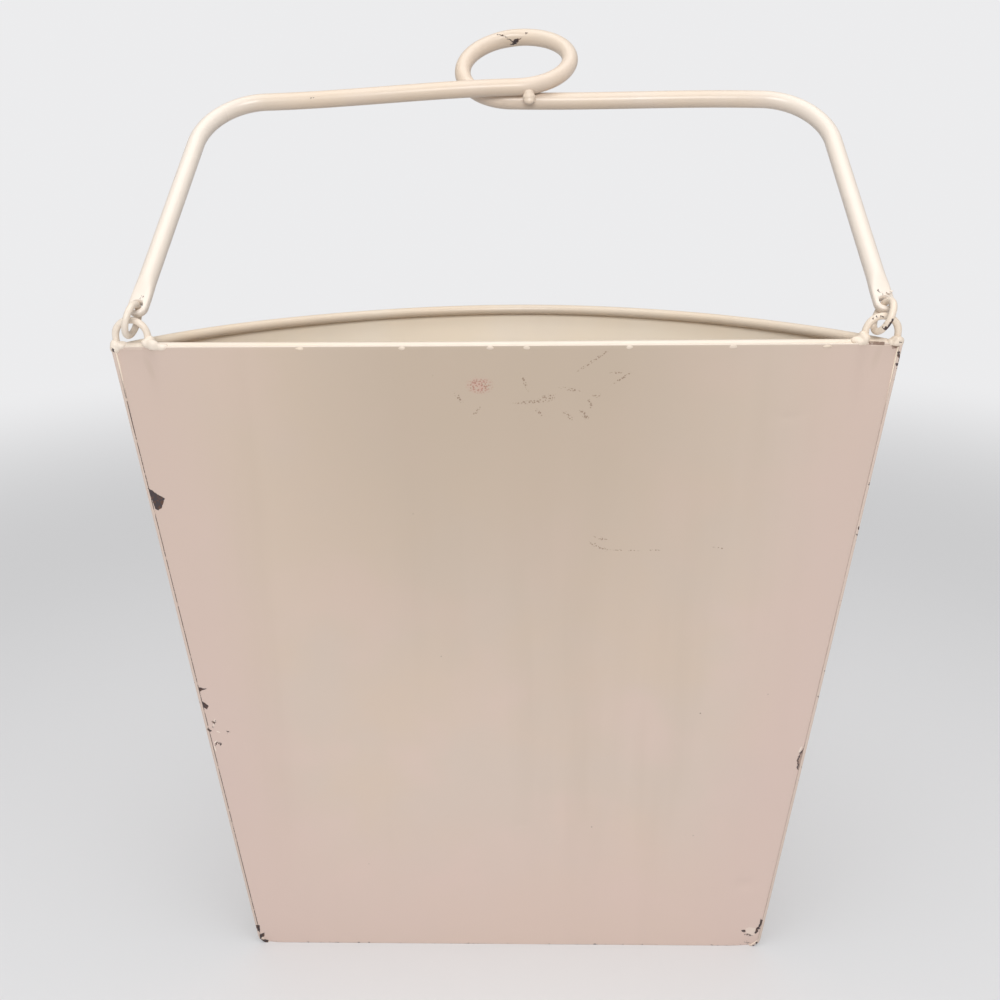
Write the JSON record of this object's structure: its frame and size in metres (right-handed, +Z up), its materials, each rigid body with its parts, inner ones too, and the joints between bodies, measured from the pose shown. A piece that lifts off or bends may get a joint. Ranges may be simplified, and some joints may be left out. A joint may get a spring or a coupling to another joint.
{
  "type": "wall bucket",
  "caption": "Tapering D-shaped sheet metal pail with a flat face, a curved wall, a wire-stiffened rim and a swinging bail with a twisted hanging loop.",
  "frame": {"origin": "middle of the underside of the base, half way between the flat face and the curve", "axes": "+Z up, -Y towards the flat face, +Y towards the curved wall, +X to the right as the flat face is looked at"},
  "size_m": [0.3412, 0.1469, 0.4611],
  "materials": {
    "panel_paint": "worn satin cream paint over steel sheet",
    "wall_paint": "worn satin cream paint over steel sheet",
    "base_paint": "worn satin cream paint over steel sheet",
    "weld_paint": "satin cream paint over weld beads",
    "rod_paint": "semi-gloss cream paint over round rod",
    "link_paint": "semi-gloss cream paint over wire",
    "bail_paint": "semi-gloss cream paint over round rod"
  },
  "bodies": {
    "pail": {"flat_panel": "panel_paint", "curved_wall": "wall_paint", "base_pan": "base_paint", "left_seam_weld": "weld_paint", "right_seam_weld": "weld_paint", "straight_rim_rod": "rod_paint", "curved_rim_rod": "rod_paint", "rim_tack_welds": "weld_paint", "left_staple": "link_paint", "right_staple": "link_paint", "left_staple_welds": "weld_paint", "right_staple_welds": "weld_paint"},
    "bail": {"bail": "bail_paint", "loop_tack_weld": "bail_paint"},
    "left_ring": {"left_ring": "link_paint"},
    "right_ring": {"right_ring": "link_paint"}
  },
  "joints": [
    {"name": "bail_swing", "type": "hinge", "parent": "pail", "child": "bail", "pos_m": [0, -0.03353, 0.336], "axis": [1, 0, 0], "range_deg": [-60, 175]},
    {"name": "left_ring_swing", "type": "hinge", "parent": "pail", "child": "left_ring", "pos_m": [-0.1615, -0.03353, 0.336], "axis": [1, 0, 0], "range_deg": [-60, 175]},
    {"name": "right_ring_swing", "type": "hinge", "parent": "pail", "child": "right_ring", "pos_m": [0.1615, -0.03353, 0.336], "axis": [1, 0, 0], "range_deg": [-60, 175]}
  ],
  "couplings": [
    {"joint": "left_ring_swing", "follows": "bail_swing", "ratio": 1},
    {"joint": "right_ring_swing", "follows": "bail_swing", "ratio": 1}
  ]
}
